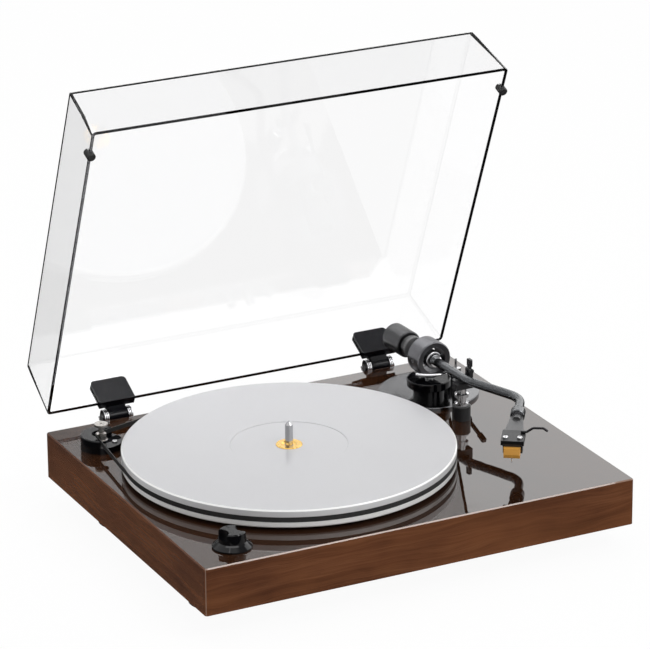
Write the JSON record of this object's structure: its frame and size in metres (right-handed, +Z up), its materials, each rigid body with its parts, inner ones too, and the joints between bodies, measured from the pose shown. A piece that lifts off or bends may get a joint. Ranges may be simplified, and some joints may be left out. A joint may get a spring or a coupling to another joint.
{
  "type": "turntable",
  "caption": "Belt-drive turntable with a gloss walnut plinth, frosted platter, S-shaped tonearm and an open clear dust cover.",
  "frame": {"origin": "bottom centre of the whole part's box, with the cover open as stored, on the floor under the feet", "axes": "+X to the right along the front, +Y to the back, +Z up along the spindle"},
  "size_m": [0.419, 0.4072, 0.4062],
  "materials": {
    "walnut": "high-gloss lacquer over veneer",
    "black_plastic": "satin",
    "black_rubber": "matte",
    "frosted_acrylic": "frosted",
    "clear_acrylic": "clear, polished",
    "brass": "turned",
    "steel": "polished",
    "dark_grey_metal": "satin gunmetal",
    "weight_metal": "satin gunmetal",
    "hinge_metal": "satin grey",
    "gold_plastic": "gloss",
    "green_board": "printed board"
  },
  "bodies": {
    "chassis": {"plinth": "walnut", "bottom_cover": "black_plastic", "case_screws": "steel", "feet": "black_plastic", "foot_pads": "black_rubber", "bearing_housing": "brass", "motor": "steel", "motor_cover": "black_plastic", "drive_belt": "black_rubber", "speed_switch": "black_plastic", "arm_base": "dark_grey_metal", "arm_tower": "dark_grey_metal", "lift_housing": "black_plastic", "rest_post": "black_plastic", "rest_stem": "steel", "rest_cradle": "black_plastic", "hinge_base_left": "hinge_metal", "hinge_base_right": "hinge_metal", "hinge_pins": "steel", "signal_panel": "black_plastic", "power_panel": "black_plastic", "phono_sockets": "steel", "ground_stud": "steel", "dc_inlet": "black_plastic", "auto_stop_switch": "black_plastic", "control_board": "green_board"},
    "platter": {"platter": "frosted_acrylic", "platter_hub": "brass", "spindle": "steel"},
    "pulley": {"motor_pulley": "steel"},
    "speed_knob": {"speed_knob": "black_plastic"},
    "dust_cover": {"dust_cover": "clear_acrylic", "hinge_clamp_left": "hinge_metal", "hinge_clamp_right": "hinge_metal", "cover_bumpers": "black_rubber"},
    "gimbal": {"gimbal_ring": "dark_grey_metal", "gimbal_shaft": "steel", "pivot_screws": "steel"},
    "tonearm": {"arm_hub": "dark_grey_metal", "arm_tube": "dark_grey_metal", "arm_tube_ring": "dark_grey_metal", "rear_stub": "dark_grey_metal", "tube_socket": "dark_grey_metal", "headshell": "dark_grey_metal", "headshell_screws": "steel", "finger_lift": "dark_grey_metal", "cartridge": "black_plastic", "stylus_holder": "gold_plastic", "cantilever": "steel"},
    "weight_bush": {"weight_bush": "dark_grey_metal"},
    "counterweight": {"counterweight": "weight_metal", "force_dial": "black_plastic"},
    "locking_collar": {"locking_collar": "black_plastic"},
    "arm_lift": {"lift_bar": "steel"},
    "cue_lever": {"cue_lever": "black_plastic"},
    "rest_clip": {"rest_clip": "black_plastic"},
    "anti_skate_dial": {"anti_skate_dial": "black_plastic"},
    "ground_nut": {"ground_nut": "steel"},
    "auto_stop_button": {"auto_stop_button": "black_plastic"}
  },
  "joints": [
    {"name": "platter_spin", "type": "hinge", "parent": "chassis", "child": "platter", "pos_m": [-0.0457, -0.031, 0.0705], "axis": [0, 0, 1], "continuous": true},
    {"name": "pulley_spin", "type": "hinge", "parent": "chassis", "child": "pulley", "pos_m": [-0.1785, 0.0836, 0.0775], "axis": [0, 0, 1], "continuous": true},
    {"name": "speed_knob_turn", "type": "hinge", "parent": "chassis", "child": "speed_knob", "pos_m": [-0.1686, -0.1709, 0.0675], "axis": [0, 0, 1], "range_deg": [-40, 40]},
    {"name": "cover_hinge", "type": "hinge", "parent": "chassis", "child": "dust_cover", "pos_m": [0, 0.1471, 0.0677], "axis": [1, 0, 0], "range_deg": [0, 67.8]},
    {"name": "arm_yaw", "type": "hinge", "parent": "chassis", "child": "gimbal", "pos_m": [0.1405, 0.0529, 0.1075], "axis": [0, 0, -1], "range_deg": [0, 43]},
    {"name": "arm_pitch", "type": "hinge", "parent": "gimbal", "child": "tonearm", "pos_m": [0.1405, 0.0529, 0.1075], "axis": [-0.999, -0.0436, 0], "range_deg": [0, 4.2]},
    {"name": "counterweight_travel", "type": "slide", "parent": "tonearm", "child": "weight_bush", "axis": [-0.0436, 0.999, 0], "range_m": [-0.003, 0.006]},
    {"name": "counterweight_turn", "type": "hinge", "parent": "weight_bush", "child": "counterweight", "pos_m": [0.13891, 0.08937, 0.1075], "axis": [-0.0436, 0.999, 0], "range_deg": [-360, 720]},
    {"name": "collar_turn", "type": "hinge", "parent": "tonearm", "child": "locking_collar", "pos_m": [0.14436, -0.10879, 0.1075], "axis": [-0.5548, -0.832, 0], "range_deg": [0, 40]},
    {"name": "arm_lift", "type": "slide", "parent": "chassis", "child": "arm_lift", "axis": [0, 0, 1], "range_m": [-0.005, 0]},
    {"name": "cue_lever_turn", "type": "hinge", "parent": "chassis", "child": "cue_lever", "pos_m": [0.1565, 0.02519, 0.0855], "axis": [1, 0, 0], "range_deg": [0, 30]},
    {"name": "rest_clip_turn", "type": "hinge", "parent": "chassis", "child": "rest_clip", "pos_m": [0.15026, -0.0081, 0.1139], "axis": [0, -1, 0], "range_deg": [0, 90]},
    {"name": "anti_skate_turn", "type": "hinge", "parent": "chassis", "child": "anti_skate_dial", "pos_m": [0.1701, 0.06367, 0.0675], "axis": [0, 0, 1], "range_deg": [0, 270]},
    {"name": "ground_nut_turn", "type": "hinge", "parent": "chassis", "child": "ground_nut", "pos_m": [0.088, 0.1394, 0.04575], "axis": [0, 1, 0], "range_deg": [0, 360]},
    {"name": "auto_stop_slide", "type": "slide", "parent": "chassis", "child": "auto_stop_button", "axis": [1, 0, 0], "range_m": [0, 0.004]}
  ],
  "couplings": [
    {"joint": "pulley_spin", "follows": "platter_spin", "ratio": 32.37},
    {"joint": "counterweight_turn", "follows": "counterweight_travel", "rad_per_m": 2094.4},
    {"joint": "cue_lever_turn", "follows": "arm_lift", "rad_per_m": -104.7}
  ]
}
